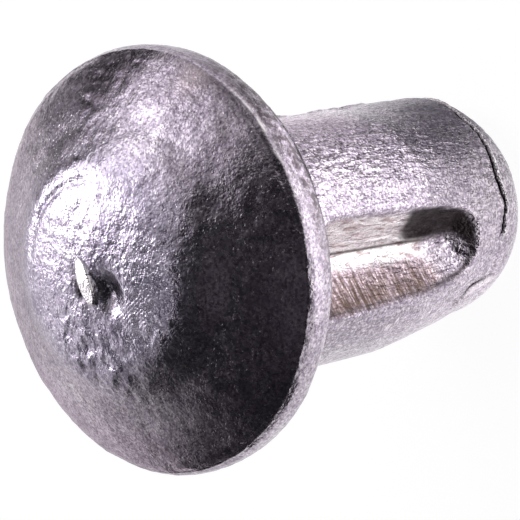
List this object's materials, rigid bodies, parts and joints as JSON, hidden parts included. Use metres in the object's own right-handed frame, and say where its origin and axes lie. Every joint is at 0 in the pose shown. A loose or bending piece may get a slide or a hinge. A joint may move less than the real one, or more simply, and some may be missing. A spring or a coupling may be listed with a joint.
{
  "type": "grooved drive stud",
  "caption": "Short round-head drive stud with a flattened domed head, three V grooves pressed along its shank, and a tapered lead-in with a rounded nose.",
  "frame": {"origin": "centre of the flat end face of the nose, which the stud stands on", "axes": "+Z along the shank, from the nose to the crown of the head; -Y points out through the middle of the first groove"},
  "size_m": [0.0098, 0.0098, 0.0129],
  "materials": {
    "steel": "dull oxidised grey, with a fine forged grain, scratches and brown rust in the grooves"
  },
  "bodies": {
    "root": {"stud": "steel"}
  },
  "joints": []
}
